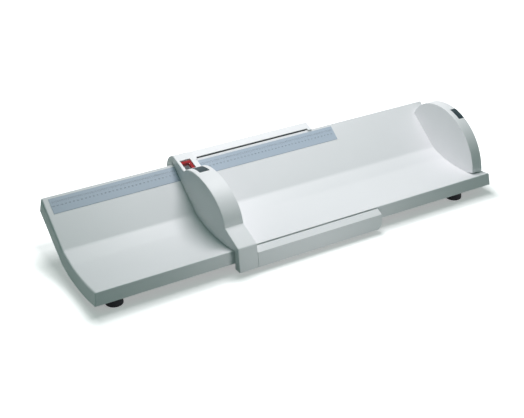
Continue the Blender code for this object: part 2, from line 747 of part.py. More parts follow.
def make_head_piece(material):
    """Leaf-shaped shell at the head end, with a notch for its key and a web that guides the stem."""
    shell = prism(head_outline(), HEAD_FACE_X, HEAD_BACK_X)
    shell = cut(shell, prism(head_hollow(), HEAD_FACE_X + HEAD_WALL, HEAD_BACK_X - HEAD_WALL))
    half_wall = HEAD_WALL / 2
    web = guide_web(HEAD_STEM_Y, HEAD_FACE_X + half_wall, HEAD_BACK_X - half_wall, HEAD_WEB_Z)
    shell = join(shell, web)
    seat = head_arc(HEAD_KEY_FRONT - SLIP, HEAD_KEY_FRONT + HEAD_KEY_LENGTH + SLIP)
    notch = key_notch(seat, HEAD_BACK_X - HEAD_KEY_WIDTH - SLIP, HEAD_BACK_X + CUT_PAST)
    hole = stem_hole((HEAD_KEY_X, HEAD_STEM_Y), HEAD_WEB_Z)
    name_piece(cut(shell, notch, hole), "head_piece", material)


def make_head_key(material):
    """Key in the crest of the head piece, with a stem down to the latch."""
    line = head_arc(HEAD_KEY_FRONT, HEAD_KEY_FRONT + HEAD_KEY_LENGTH)
    plate = key_plate(line, KEY_THICKNESS, HEAD_BACK_X - HEAD_KEY_WIDTH, HEAD_BACK_X - SEAM)
    place = (HEAD_KEY_X, HEAD_STEM_Y)
    crown = ellipse_height(*head_quarters(0.0)[0], HEAD_STEM_Y) - KEY_THICKNESS / 2
    foot = LATCH_PIVOT_Z + LATCH_ARM_HALF + 2 * SLIP
    key = join(plate, rod(place, STEM_RADIUS, foot, crown, sides=SMALL_ROUND_SIDES))
    name_piece(key, "head_key", material, (*place, crown))


def make_head_latch(plastic, steel):
    """Hooked lever under the head key, swinging on a pin between the head piece's walls."""
    half = LATCH_THICKNESS / 2
    lever_top = LATCH_PIVOT_Z + LATCH_ARM_HALF
    lever_low = LATCH_PIVOT_Z - LATCH_ARM_HALF
    lever_end = HEAD_STEM_Y + STEM_RADIUS + SLIP
    back = LATCH_PIVOT_Y + half
    front = LATCH_PIVOT_Y - half - PIN_RADIUS
    barb_top = tray_height(back) - TRAY_WALL - 2 * SLIP
    barb_low = barb_top - LATCH_THICKNESS
    outline = [
        (front, lever_top),
        (lever_end, lever_top),
        (lever_end, lever_low),
        (back, lever_low),
        (back, barb_top),
        (back + LATCH_BARB, barb_top),
        (back, barb_low),
        (LATCH_PIVOT_Y - half, barb_low),
        (LATCH_PIVOT_Y - half, lever_low - LATCH_THICKNESS),
        (front, lever_low),
    ]
    lever = prism(outline, HEAD_KEY_X - LATCH_WIDTH / 2, HEAD_KEY_X + LATCH_WIDTH / 2)
    pivot = (LATCH_PIVOT_Y, LATCH_PIVOT_Z)
    bore = rod(pivot, PIN_RADIUS + PIN_PLAY, HEAD_KEY_X - LATCH_WIDTH, HEAD_KEY_X + LATCH_WIDTH, "X")
    name_piece(cut(lever, bore), "head_latch", plastic, (HEAD_KEY_X, *pivot))
    pin = rod(pivot, PIN_RADIUS, HEAD_FACE_X + HEAD_WALL + SEAM, HEAD_BACK_X - HEAD_WALL - SEAM, "X")
    name_piece(pin, "head_latch_pin", steel)


def make_spring(name, material, centre, low, high):
    """Coil spring round a key's stem, standing on its web."""
    curve = bpy.data.curves.new(name, "CURVE")
    curve.dimensions = "3D"
    curve.bevel_depth = SPRING_WIRE / 2
    curve.bevel_resolution = 1
    curve.use_fill_caps = True
    spline = curve.splines.new("POLY")
    count = SPRING_TURNS * SPRING_POINTS
    spline.points.add(count)
    start = low + SPRING_WIRE / 2 + SEAM
    end = high - SPRING_WIRE / 2
    for step in range(count + 1):
        angle = 2 * math.pi * step / SPRING_POINTS
        x = centre[0] + SPRING_RADIUS * math.cos(angle)
        y = centre[1] + SPRING_RADIUS * math.sin(angle)
        spline.points[step].co = (x, y, start + (end - start) * step / count, 1.0)
    coil = bpy.data.objects.new(name, curve)
    bpy.context.scene.collection.objects.link(coil)
    name_piece(coil, name, material)


def make_head_spring(material):
    """Spring that lifts the head key."""
    under = ellipse_height(*head_quarters(0.0)[0], HEAD_STEM_Y - SPRING_RADIUS) - KEY_THICKNESS
    make_spring("head_key_spring", material, (HEAD_KEY_X, HEAD_STEM_Y), HEAD_WEB_Z + WEB_THICKNESS,
                under - KEY_TRAVEL - 2 * SLIP)


# Pieces that slide along the board

def join_pin_places():
    """Names and (y, z) centres of the pins between the foot piece and the guards."""
    front_y = (front_face_y(FRONT_FOOT_Z / 2) + GUIDE_FRONT_Y) / 2
    front_z = FRONT_FOOT_Z / 2
    rear_y = (GUIDE_REAR_Y + HOOK_BACK_Y) / 2
    rear_z = (HOOK_FOOT_Z + REAR_EDGE_Z) / 2
    return {
        "front_guard_pin_upper": (front_y, front_z + JOIN_PIN_SPREAD / 2),
        "front_guard_pin_lower": (front_y, front_z - JOIN_PIN_SPREAD / 2),
        "rear_guard_pin_upper": (rear_y, rear_z + JOIN_PIN_SPREAD / 2),
        "rear_guard_pin_lower": (rear_y, rear_z - JOIN_PIN_SPREAD / 2),
    }


def join_pin_holes(side):
    """Cutters for the pins of one guard."""
    holes = []
    reach = JOIN_PIN_LENGTH / 2 + SEAM
    low = SLIDE_RIGHT_X - reach
    high = SLIDE_RIGHT_X + reach
    for name, place in join_pin_places().items():
        if name.startswith(side):
            holes.append(rod(place, JOIN_PIN_RADIUS + SEAM, low, high, "X"))
    return holes


def make_foot_piece(material):
    """Hollow arch with a front block and a rear arm, a reading window and a brake key notch."""
    body = prism(slide_outline(), SLIDE_LEFT_X, SLIDE_RIGHT_X)
    body = cut(body, prism(slide_hollow(), SLIDE_LEFT_X + SLIDE_WALL, SLIDE_RIGHT_X - SLIDE_WALL))
    half_wall = SLIDE_WALL / 2
    web = guide_web(BRAKE_STEM_Y, SLIDE_LEFT_X + half_wall, SLIDE_RIGHT_X - half_wall, BRAKE_WEB_Z)
    body = join(body, web)
    hole = stem_hole((BRAKE_KEY_X, BRAKE_STEM_Y), BRAKE_WEB_Z)
    seat = brake_arc(BRAKE_KEY_FRONT - SLIP, BRAKE_KEY_FRONT + BRAKE_KEY_LENGTH + SLIP)
    notch = key_notch(seat, BRAKE_KEY_RIGHT - BRAKE_KEY_WIDTH - SLIP, BRAKE_KEY_RIGHT + SLIP)
    left = SLIDE_LEFT_X + WINDOW_SIDE
    right = left + WINDOW_WIDTH
    back = WINDOW_FRONT_Y + WINDOW_DEPTH
    well = prism(arm_band(WINDOW_FRONT_Y, back, -CUT_PAST, LEDGE_DEPTH), left, right)
    drop = arm_top(WINDOW_FRONT_Y) - tray_height(WINDOW_FRONT_Y) + CUT_PAST
    sight = prism(arm_band(WINDOW_FRONT_Y + LEDGE_WIDTH, back - LEDGE_WIDTH, 0.0, drop),
                  left + LEDGE_WIDTH, right - LEDGE_WIDTH)
    body = cut(body, notch, hole, well, sight, *join_pin_holes("front"), *join_pin_holes("rear"))
    name_piece(body, "foot_piece", material)


def make_window(red, clear):
    """Red index frame on the window's ledge, with a clear lens above it."""
    left = SLIDE_LEFT_X + WINDOW_SIDE + SEAM
    right = left + WINDOW_WIDTH - 2 * SEAM
    front = WINDOW_FRONT_Y + SEAM
    back = WINDOW_FRONT_Y + WINDOW_DEPTH - SEAM
    frame_top = LENS_DEPTH + LENS_THICKNESS + SEAM
    frame = prism(arm_band(front, back, frame_top, LEDGE_DEPTH - SEAM), left, right)
    opening = prism(arm_band(front - CUT_PAST, back - INDEX_BAR, 0.0, LEDGE_DEPTH + CUT_PAST),
                    left - CUT_PAST, right - INDEX_BAR)
    name_piece(cut(frame, opening), "index_frame", red)
    lens = prism(arm_band(front, back, LENS_DEPTH, LENS_DEPTH + LENS_THICKNESS), left, right)
    name_piece(lens, "window_lens", clear)


def brake_arc(start, end):
    """Top of the arch's rear quarter between two depths."""
    return ellipse_between(*arch_quarters(0.0)[1], start, end, SHORT_ARC_STEPS)


def make_brake(key_material, rubber):
    """Key in the crest of the arch whose stem presses a rubber shoe against the rear wall."""
    line = brake_arc(BRAKE_KEY_FRONT, BRAKE_KEY_FRONT + BRAKE_KEY_LENGTH)
    plate = key_plate(line, KEY_THICKNESS, BRAKE_KEY_RIGHT - BRAKE_KEY_WIDTH, BRAKE_KEY_RIGHT)
    crown = ellipse_height(*arch_quarters(0.0)[1], BRAKE_STEM_Y) - KEY_THICKNESS / 2
    stem = rod((BRAKE_KEY_X, BRAKE_STEM_Y), STEM_RADIUS, SHOE_TOP_Z + SEAM, crown,
               sides=SMALL_ROUND_SIDES)
    origin = (BRAKE_KEY_X, BRAKE_STEM_Y, crown)
    name_piece(join(plate, stem), "brake_key", key_material, origin)
    front = BRAKE_STEM_Y - SHOE_LENGTH / 2
    back = front + SHOE_LENGTH
    outline = tray_line(front, back, KEY_TRAVEL + SLIP)
    outline += [(back, SHOE_TOP_Z), (front, SHOE_TOP_Z)]
    shoe = prism(outline, BRAKE_KEY_X - SHOE_WIDTH / 2, BRAKE_KEY_X + SHOE_WIDTH / 2)
    name_piece(shoe, "brake_shoe", rubber, origin)


def make_brake_spring(material):
    """Spring that lifts the brake key."""
    under = ellipse_height(*arch_quarters(0.0)[1], BRAKE_STEM_Y + SPRING_RADIUS) - KEY_THICKNESS
    make_spring("brake_spring", material, (BRAKE_KEY_X, BRAKE_STEM_Y), BRAKE_WEB_Z + WEB_THICKNESS,
                under - KEY_TRAVEL - 2 * SLIP)


def rounded_corner(x, y, radius):
    """Plan of what is cut off to round a corner at (x, y), on the side towards -X and -Y."""
    outline = [(x + radius, y + radius), (x - radius, y + radius)]
    for step in range(CORNER_STEPS + 1):
        angle = math.pi / 2 * (1 - step / CORNER_STEPS)
        outline.append((x - radius + radius * math.cos(angle), y - radius + radius * math.sin(angle)))
    outline.append((x + radius, y - radius))
    return outline


def make_front_guard(material):
    """Channel along the front skirt, with a slanted lower corner at its free end."""
    end = GUARD_END_X
    guard = prism(front_guard_outline(), GUARD_START_X, end)
    hollow = prism(front_guard_hollow(), GUARD_START_X + GUARD_PLUG, end - GUARD_WALL)
    slant = [(end - FRONT_CORNER, FRONT_FOOT_Z - SEAM), (end + SEAM, FRONT_FOOT_Z - SEAM),
             (end + SEAM, FRONT_FOOT_Z + FRONT_CORNER)]
    corner = prism(slant, FRONT_FOOT_Y - CUT_PAST, FRONT_LIP_Y + CUT_PAST, "Y")
    name_piece(cut(guard, hollow, corner, *join_pin_holes("front")), "front_guard", material)


def make_rear_guard(material):
    """Rounded rail behind the rear edge, with a slot along the edge and a rounded free end."""
    end = GUARD_END_X
    guard = prism(rear_guard_outline(), GUARD_START_X, end)
    hollow = prism(rear_guard_hollow(), GUARD_START_X + GUARD_PLUG, end - REAR_GUARD_END)
    corner = prism(rounded_corner(end, HOOK_BACK_Y, REAR_CORNER), HOOK_FOOT_Z - CUT_PAST,
                   HOOK_CENTRE_Z + HOOK_RISE + CUT_PAST, "Z")
    name_piece(cut(guard, hollow, corner, *join_pin_holes("rear")), "rear_guard", material)


def make_join_pins(material):
    """Steel pins that line the guards up with the foot piece."""
    half = JOIN_PIN_LENGTH / 2
    for name, place in join_pin_places().items():
        pin = rod(place, JOIN_PIN_RADIUS, SLIDE_RIGHT_X - half, SLIDE_RIGHT_X + half, "X")
        name_piece(pin, name, material)


def make_glides(material):
    """Slippery pads between the sliding pieces and the tray."""
    middle = (SLIDE_LEFT_X + SLIDE_RIGHT_X) / 2
    rear_start = TRAY_DEPTH - SCALE_TOP_INSET + GLIDE_SIDE_PLAY / 2
    for name, start in {"front_top_glide": GLIDE_INSET, "rear_top_glide": rear_start}.items():
        end = start + GLIDE_DEPTH
        pad = tray_line(start, end, SEAM) + tray_line(end, start, RIDE_GAP - SEAM)
        name_piece(prism(pad, middle - GLIDE_LENGTH / 2, middle + GLIDE_LENGTH / 2), name, material)

    front = (FRONT_FOOT_Z + LIP_THICKNESS + SEAM, GUIDE_FRONT_Y, FRONT_LIP_Y)
    rear = (HOOK_FOOT_Z + LIP_THICKNESS + SEAM, REAR_LIP_Y, GUIDE_REAR_Y)
    starts = {
        "near": GUARD_START_X + GLIDE_MARGIN,
        "far": GUARD_END_X - GLIDE_MARGIN - GLIDE_LENGTH,
    }
    for edge, (low, near_y, far_y) in {"front": front, "rear": rear}.items():
        ends = (near_y + GLIDE_SIDE_PLAY, far_y - GLIDE_SIDE_PLAY)
        pad = [(ends[0], low), (ends[1], low)]
        pad += [(y, line_height(tray_foot_points(), y) - SLIP) for y in reversed(ends)]
        for end, start in starts.items():
            name_piece(prism(pad, start, start + GLIDE_LENGTH), f"{edge}_glide_{end}", material)


def main():
    """Build every piece."""
    clear_scene()
    shell = finish("pale_moulding", (0.80, 0.83, 0.84), 0.42)
    strip = finish("scale_film", (0.45, 0.52, 0.62), 0.35)
    dark = finish("dark_key", (0.045, 0.065, 0.075), 0.35)
    red = finish("red_index", (0.48, 0.01, 0.02), 0.4)
    clear = finish("clear_lens", (0.9, 0.93, 0.95), 0.05, alpha=0.3)
    rubber = finish("black_rubber", (0.012, 0.012, 0.014), 0.75)
    steel = finish("plain_steel", (0.55, 0.56, 0.58), 0.3, 1.0)
    slippery = finish("glide_plastic", (0.75, 0.75, 0.72), 0.35)

    make_tray(shell)
    make_scale_strip(strip)
    make_feet(rubber, steel)
    make_stops(shell)
    make_head_piece(shell)
    make_head_key(dark)
    make_head_latch(slippery, steel)
    make_head_spring(steel)

    make_foot_piece(shell)
    make_window(red, clear)
    make_brake(dark, rubber)
    make_brake_spring(steel)
    make_front_guard(shell)
    make_rear_guard(shell)
    make_join_pins(steel)
    make_glides(slippery)


main()
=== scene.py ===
"""Looks of an infant length measuring board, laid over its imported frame.

The outer pieces are softened copies of their frame nodes: merged, with flat faces made whole and outer
edges rounded. The strip, the window and the inner pieces stay as the frame has them and get a finish.
The scale's print is new geometry. Metres, +Z up, +X towards the head piece.
"""

import math

import bmesh
import bpy
from mathutils import Matrix, Vector


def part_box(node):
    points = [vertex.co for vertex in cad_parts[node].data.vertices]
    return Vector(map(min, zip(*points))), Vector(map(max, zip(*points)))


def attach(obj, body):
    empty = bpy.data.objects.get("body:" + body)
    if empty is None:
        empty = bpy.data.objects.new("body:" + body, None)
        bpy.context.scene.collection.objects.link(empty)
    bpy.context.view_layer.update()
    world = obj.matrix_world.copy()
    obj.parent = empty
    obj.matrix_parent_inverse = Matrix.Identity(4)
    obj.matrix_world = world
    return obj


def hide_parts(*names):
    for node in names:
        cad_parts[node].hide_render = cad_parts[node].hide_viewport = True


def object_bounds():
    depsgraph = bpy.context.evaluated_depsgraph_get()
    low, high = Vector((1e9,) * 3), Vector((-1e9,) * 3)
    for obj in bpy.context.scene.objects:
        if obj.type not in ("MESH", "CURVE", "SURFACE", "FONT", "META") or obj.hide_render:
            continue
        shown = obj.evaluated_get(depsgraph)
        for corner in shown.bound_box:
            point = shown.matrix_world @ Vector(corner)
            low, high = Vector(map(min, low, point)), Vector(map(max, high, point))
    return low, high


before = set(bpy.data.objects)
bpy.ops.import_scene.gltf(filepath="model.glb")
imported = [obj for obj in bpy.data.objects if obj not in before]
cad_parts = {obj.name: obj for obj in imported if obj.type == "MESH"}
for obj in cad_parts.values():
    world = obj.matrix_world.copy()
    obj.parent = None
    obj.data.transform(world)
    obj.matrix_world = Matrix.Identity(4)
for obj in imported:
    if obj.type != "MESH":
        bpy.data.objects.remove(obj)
CAD_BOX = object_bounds()

bl_info = {
    "name": "Infant Measuring Board",
    "version": (1, 0, 0),
    "blender": (4, 5, 0),
    "location": "View3D > Sidebar > Board",
    "description": "Builds the looks of an infant length measuring board over its frame",
    "category": "Object",
}

# Places that follow the frame
TRAY_LOW, TRAY_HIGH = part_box("tray")
HEAD_LOW, HEAD_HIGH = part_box("head_piece")
SLIDE_LOW, SLIDE_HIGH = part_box("foot_piece")
FRONT_GUARD_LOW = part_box("front_guard")[0]
STRIP_LOW, STRIP_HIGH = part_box("scale_strip")
INDEX_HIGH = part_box("index_frame")[1]

# Tolerances of the modelling
MERGE_DISTANCE = 1e-6           # points this close are one point
FLAT_ANGLE = math.radians(0.8)  # a bend below this is flat
FOLD_ANGLE = math.radians(4)    # a bend above this is a fold of the tray
SHARP_ANGLE = math.radians(30)  # a bend above this is an edge
NEAR = 0.0002                   # how far off a plane an edge may lie
HOLE_SEGMENT = 0.0008           # edges shorter than this run round a pin's hole
ALONG = 0.99                    # share of an edge's length that runs along an axis

# Part of a face's normal that makes the face look some way, look mostly that way or stand square to it
LOOKS = 0.3
LOOKS_MOSTLY = 0.5
LOOKS_SQUARE = 0.9

# Distance from a foot's axis beyond which its edges are rounded, as a share of its width
FOOT_ROUND_FROM = 1 / 3

# How far behind the front guard's face the brow over the front block can lie
BROW_DEPTH = 0.02

# Image that the camera fills, in pixels, and the lens in pixels
IMAGE_WIDTH = 524
LENS_PIXELS = 1103
SENSOR_WIDTH = 36.0

# The scale: its unit, the marks left out at each end and the steps between longer ticks, in units
MILLIMETRE = 0.001
BARE_MARKS = 4
HALF_STEP = 5
CENTIMETRE_STEP = 10
DIGIT_CURVE_STEPS = 2

# Where the ticks start, as a share of the strip's width from its lower edge
TICK_START = 0.80

# Width of the index frame's right-hand bar, whose inner edge marks the reading
INDEX_BAR = 0.008

# Moulded plastics: colour, lowest and highest roughness, grain in cells per metre, gloss
PLASTICS = {
    "pale_plastic": ("moulding", 0.40, 0.50, 1500.0, 0.40),
    "slate_plastic": ("key", 0.40, 0.52, 1800.0, 0.12),
    "red_plastic": ("index", 0.55, 0.65, 1800.0, 0.03),
    "glide_plastic": ("glide", 0.34, 0.46, 1800.0, 0.40),
    "scale_ink": ("ink", 0.42, 0.55, 1800.0, 0.20),
}

# Clear window: share of its surface that is not see-through, and gloss
LENS_ALPHA = 0.015
LENS_GLOSS = 0.15

# Distances from the board between which the floor fades to plain white
FLOOR_NEAR = 0.0
FLOOR_FAR = 0.055
FLOOR_SIZE = 8.0
FLOOR_COLOUR = (0.86, 0.86, 0.86, 1.0)
WHITE = (1.0, 1.0, 1.0, 1.0)

# Lamps: place, aim and side of the square
TOP_LAMP = ((0.17, 0.35, 1.30), (0.13, 0.0, 0.05), 0.70)
FRONT_LAMP = ((0.0, -0.60, 0.03), (0.02, -0.18, 0.06), 0.25)

# Viewpoint of the photograph
CAMERA_PLACE = (-1.2594, -2.0379, 1.3604)
CAMERA_TILT = math.radians(90 - 29.0)
CAMERA_TURN = math.radians(-30.84)


# Settings a user would change

def length(name, description, default):
    """A size in metres."""
    return bpy.props.FloatProperty(name=name, description=description, default=default, min=0.0,
                                   precision=4, unit="LENGTH", subtype="DISTANCE")


def colour(name, description, default):
    """A surface colour, as linear red, green and blue."""
    return bpy.props.FloatVectorProperty(name=name, description=description, default=default, size=3,
                                         min=0.0, max=1.0, subtype="COLOR")


def level(name, description, default):
    """A plain number, such as a lamp's strength."""
    return bpy.props.FloatProperty(name=name, description=description, default=default, min=0.0)


class BoardSizes(bpy.types.PropertyGroup):
    """Radii of the softened edges and sizes of the scale's print."""

    tray_rim: length("Tray rim", "Radius along the tray's front and rear edges", 0.0022)
    end_rim: length("End rims", "Radius along the tray's end top edges", 0.0045)
    tray_fold: length("Tray folds", "Half width of the folds between bed, ramp and rear wall", 0.005)
    skirt_edge: length("Skirt edge", "Radius along the lower edge of the skirt", 0.0008)
    head_edge: length("Head piece", "Radius along the head piece's sides", 0.0024)
    slide_left: length("Foot piece, open side", "Radius along the foot piece's left side", 0.0026)
    slide_right: length("Foot piece, measuring side", "Radius along the foot piece's right side", 0.0014)
    guard_edge: length("Guards", "Radius along the guards' edges", 0.0010)
    guard_seam: length("Guard seam", "Radius where the front guard meets the foot piece", 0.0022)
    key_edge: length("Keys", "Radius along the keys' edges", 0.0010)
    foot_edge: length("Feet", "Radius around the feet", 0.0025)
    trim_edge: length("Small pieces", "Radius on stops and the index frame", 0.0004)
    print_height: length("Print", "Thickness of the scale's ink", 0.00006)
    tick_width: length("Tick width", "Width of a tick", 0.00014)
    millimetre_tick: length("Millimetre tick", "Length of a millimetre tick", 0.0042)
    half_tick: length("Half tick", "Length of a five-millimetre tick", 0.0062)
    centimetre_tick: length("Centimetre tick", "Length of a centimetre tick", 0.0085)
    digit_height: length("Digits", "Height of the scale's digits", 0.0048)


class BoardColours(bpy.types.PropertyGroup):
    """Colours of the surfaces."""

    moulding: colour("Moulding", "Pale moulded plastic", (0.825, 0.815, 0.835))
    film: colour("Scale film", "Blue-grey film of the scale", (0.43, 0.51, 0.62))
    ink: colour("Ink", "Print on the scale", (0.11, 0.14, 0.18))
    key: colour("Keys", "Dark slate plastic", (0.035, 0.055, 0.065))
    index: colour("Index", "Red index frame", (0.38, 0.003, 0.009))
    lens: colour("Lens", "Clear window", (0.92, 0.95, 0.96))
    rubber: colour("Rubber", "Feet and brake shoe", (0.010, 0.010, 0.013))
    steel: colour("Steel", "Springs, pins and screws", (0.55, 0.56, 0.58))
    glide: colour("Glides", "Slippery plastic of glides and latch", (0.72, 0.72, 0.68))


class StageSettings(bpy.types.PropertyGroup):
    """Light, floor and background."""

    lamp_tint: colour("Lamp tint", "Colour of both softboxes", (1.0, 0.975, 1.0))
    top_power: level("Top light", "Power of the softbox above the board, in watts", 16.0)
    front_power: level("Front light", "Power of the small softbox before the board, in watts", 1.0)
    ambient: colour("Ambient", "Light from all round", (0.045, 0.130, 0.105))
    floor_bounce: colour("Floor bounce", "Floor as the object sees it", (0.33, 0.36, 0.35))
    floor_white: level("Floor white", "How far the floor shows white by itself", 0.35)


# Building tools

def merged_solid(node):
    """A merged copy of a frame node with the cuts inside its flat faces dissolved."""
    bm = bmesh.new()
    bm.from_mesh(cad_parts[node].data)
    bmesh.ops.remove_doubles(bm, verts=bm.verts, dist=MERGE_DISTANCE)
    bmesh.ops.dissolve_limit(bm, angle_limit=FLAT_ANGLE, verts=bm.verts, edges=bm.edges)
    return bm


def round_edges(bm, chosen, radius, segments, clamp=True):
    """Round the edges that a rule picks."""
    edges = [edge for edge in bm.edges if edge.is_manifold and chosen(edge)]
    bmesh.ops.bevel(bm, geom=edges, offset=radius, affect="EDGES", segments=segments, profile=0.5,
                    material=-1, clamp_overlap=clamp)


def is_corner(edge):
    """Whether an edge is a sharp outer one."""
    return edge.calc_face_angle_signed(0.0) > SHARP_ANGLE


def runs_along(edge, axis):
    """Whether an edge runs along one axis."""
    run = edge.verts[1].co - edge.verts[0].co
    return abs(run[axis]) > ALONG * run.length


def lies_at(edge, axis, place):
    """Whether an edge lies in a plane square to one axis."""
    return all(abs(vert.co[axis] - place) < NEAR for vert in edge.verts)


def rims_a_hole(edge):
    """Whether an edge is one of the short ones round a pin's hole."""
    return edge.calc_length() < HOLE_SEGMENT


def looks_down(edge):
    """Whether one of an edge's faces looks downwards."""
    return any(face.normal.z < -LOOKS for face in edge.link_faces)


def piece_from(bm, name, body, material, slot, *nodes):
    """A finished, smooth-shaded piece that rides on a body and stands for frame nodes."""
    for face in bm.faces:
        face.smooth = True
    for edge in bm.edges:
        edge.smooth = edge.calc_face_angle(0.0) < SHARP_ANGLE
    mesh = bpy.data.meshes.new(name)
    bm.to_mesh(mesh)
    bm.free()
    mesh.materials.append(material)
    piece = bpy.data.objects.new(name, mesh)
    bpy.context.scene.collection.objects.link(piece)
    weighted = piece.modifiers.new("flat faces stay flat", "WEIGHTED_NORMAL")
    weighted.keep_sharp = True
    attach(piece, body)
    if nodes:
        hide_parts(*nodes)
    return piece


def dress(node, material):
    """Give a frame node that stays as it is a finished material."""
    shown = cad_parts[node]
    shown.data.materials.clear()
    shown.data.materials.append(material)


# Finishes

def add_node(tree, kind, settings=None, **inputs):
    """A shader node with its settings and its unlinked inputs."""
    made = tree.nodes.new(kind)
    for key, value in (settings or {}).items():
        setattr(made, key, value)
    for key, value in inputs.items():
        made.inputs[key.replace("_", " ")].default_value = value
    return made


def surface(name):
    """An empty material with its Principled shader and its place on the object."""
    material = bpy.data.materials.new(name)
    material.use_nodes = True
    tree = material.node_tree
    place = tree.nodes.new("ShaderNodeTexCoord").outputs["Object"]
    return material, tree, tree.nodes["Principled BSDF"], place


def noise(tree, place, scale, detail):
    """Cloudy noise at one scale, in cells per metre."""
    made = add_node(tree, "ShaderNodeTexNoise", Scale=scale, Detail=detail)
    tree.links.new(place, made.inputs["Vector"])
    return made.outputs["Fac"]


def vary_colour(tree, shader, source, tint, spread):
    """Let a base colour drift a little lighter and darker."""
    mix = add_node(tree, "ShaderNodeMix", {"data_type": "RGBA"})
    mix.inputs["A"].default_value = (*(part * (1 - spread) for part in tint), 1.0)
    mix.inputs["B"].default_value = (*(min(1.0, part * (1 + spread)) for part in tint), 1.0)
    tree.links.new(source, mix.inputs["Factor"])
    tree.links.new(mix.outputs["Result"], shader.inputs["Base Color"])


def vary_roughness(tree, shader, source, low, high):
    """Let the roughness drift between two values."""
    spread = add_node(tree, "ShaderNodeMapRange", To_Min=low, To_Max=high)
    tree.links.new(source, spread.inputs["Value"])
    tree.links.new(spread.outputs["Result"], shader.inputs["Roughness"])


def emboss(tree, shader, source, depth, strength):
    """Raise a fine grain on the surface."""
    bump = add_node(tree, "ShaderNodeBump", Strength=strength, Distance=depth)
    tree.links.new(source, bump.inputs["Height"])
    tree.links.new(bump.outputs["Normal"], shader.inputs["Normal"])


def moulded_plastic(name, tint, low, high, grain, gloss):
    """Plastic with a spark-eroded grain and a faint cloudiness."""
    material, tree, shader, place = surface(name)
    shader.inputs["Specular IOR Level"].default_value = gloss
    vary_colour(tree, shader, noise(tree, place, scale=7.0, detail=3.0), tint, spread=0.018)
    vary_roughness(tree, shader, noise(tree, place, scale=55.0, detail=4.0), low, high)
    emboss(tree, shader, noise(tree, place, scale=grain, detail=2.0), depth=0.00006, strength=0.35)
    return material


def printed_film(name, tint):
    """Satin film with a faint long streak from its printing."""
    material, tree, shader, place = surface(name)
    stretch = add_node(tree, "ShaderNodeMapping", Scale=(0.6, 60.0, 60.0))
    tree.links.new(place, stretch.inputs["Vector"])
    streaks = noise(tree, stretch.outputs["Vector"], scale=6.0, detail=3.0)
    vary_colour(tree, shader, streaks, tint, spread=0.03)
    vary_roughness(tree, shader, noise(tree, place, scale=80.0, detail=3.0), low=0.30, high=0.40)
    return material


def rubber(name, tint):
    """Matt rubber with a coarse grain."""
    material, tree, shader, place = surface(name)
    vary_colour(tree, shader, noise(tree, place, scale=40.0, detail=3.0), tint, spread=0.25)
    vary_roughness(tree, shader, noise(tree, place, scale=120.0, detail=4.0), low=0.62, high=0.82)
    emboss(tree, shader, noise(tree, place, scale=900.0, detail=3.0), depth=0.0001, strength=0.5)
    return material


def drawn_steel(name, tint):
    """Plain steel with drawing lines along the board."""
    material, tree, shader, place = surface(name)
    shader.inputs["Metallic"].default_value = 1.0
    stretch = add_node(tree, "ShaderNodeMapping", Scale=(20.0, 900.0, 900.0))
    tree.links.new(place, stretch.inputs["Vector"])
    lines = noise(tree, stretch.outputs["Vector"], scale=1.0, detail=2.0)
    vary_colour(tree, shader, lines, tint, spread=0.08)
    vary_roughness(tree, shader, lines, low=0.24, high=0.42)
    return material


def clear_plastic(name, tint):
    """Clear window that barely shows, with a faint unevenness."""
    material, tree, shader, place = surface(name)
    shader.inputs["Alpha"].default_value = LENS_ALPHA
    shader.inputs["Specular IOR Level"].default_value = LENS_GLOSS
    vary_colour(tree, shader, noise(tree, place, scale=30.0, detail=2.0), tint, spread=0.02)
    vary_roughness(tree, shader, noise(tree, place, scale=260.0, detail=4.0), low=0.02, high=0.07)
    return material


def finish(kind):
    """The finish of one kind of surface, made once."""
    made = bpy.data.materials.get(kind)
    if made:
        return made
    tints = bpy.context.scene.board_colours
    if kind in PLASTICS:
        tint, *touch = PLASTICS[kind]
        return moulded_plastic(kind, getattr(tints, tint), *touch)
    others = {
        "scale_film": (printed_film, tints.film),
        "clear_window": (clear_plastic, tints.lens),
        "black_rubber": (rubber, tints.rubber),
        "drawn_steel": (drawn_steel, tints.steel),
    }
    make, tint = others[kind]
    return make(kind, tint)


# Pieces of the board

class BOARD_OT_tray(bpy.types.Operator):
    """Soften the tray: its folds, its rims and the lower edge of its skirt."""

    bl_idname = "board.tray"
    bl_label = "Tray"

    def execute(self, context):
        sizes = context.scene.board_sizes
        bm = merged_solid("tray")

        def is_fold(edge):
            bend = edge.calc_face_angle_signed(0.0)
            upward = all(face.normal.z > LOOKS for face in edge.link_faces)
            return upward and runs_along(edge, 0) and -SHARP_ANGLE < bend < -FOLD_ANGLE

        def is_end_rim(edge):
            upward = any(face.normal.z > LOOKS_MOSTLY for face in edge.link_faces)
            at_end = all(abs(vert.co.x) > TRAY_HIGH.x - 2 * sizes.end_rim for vert in edge.verts)
            run = edge.verts[1].co - edge.verts[0].co
            return is_corner(edge) and upward and at_end and abs(run.x) < NEAR

        def is_rim(edge):
            inset = 2 * sizes.end_rim
            at_front = all(vert.co.y < TRAY_LOW.y + inset for vert in edge.verts)
            at_rear = all(vert.co.y > TRAY_HIGH.y - inset for vert in edge.verts)
            upright_face = any(abs(face.normal.y) > LOOKS_SQUARE for face in edge.link_faces)
            return is_corner(edge) and upright_face and (at_front or at_rear) and not looks_down(edge)

        def is_skirt_edge(edge):
            return is_corner(edge) and looks_down(edge) and not runs_along(edge, 2)

        round_edges(bm, is_fold, sizes.tray_fold, segments=4)
        round_edges(bm, is_end_rim, sizes.end_rim, segments=6, clamp=False)
        round_edges(bm, is_rim, sizes.tray_rim, segments=4, clamp=False)
        round_edges(bm, is_skirt_edge, sizes.skirt_edge, segments=2)
        piece_from(bm, "tray_shell", "board", finish("pale_plastic"), "pale_moulding", "tray")
        return {"FINISHED"}


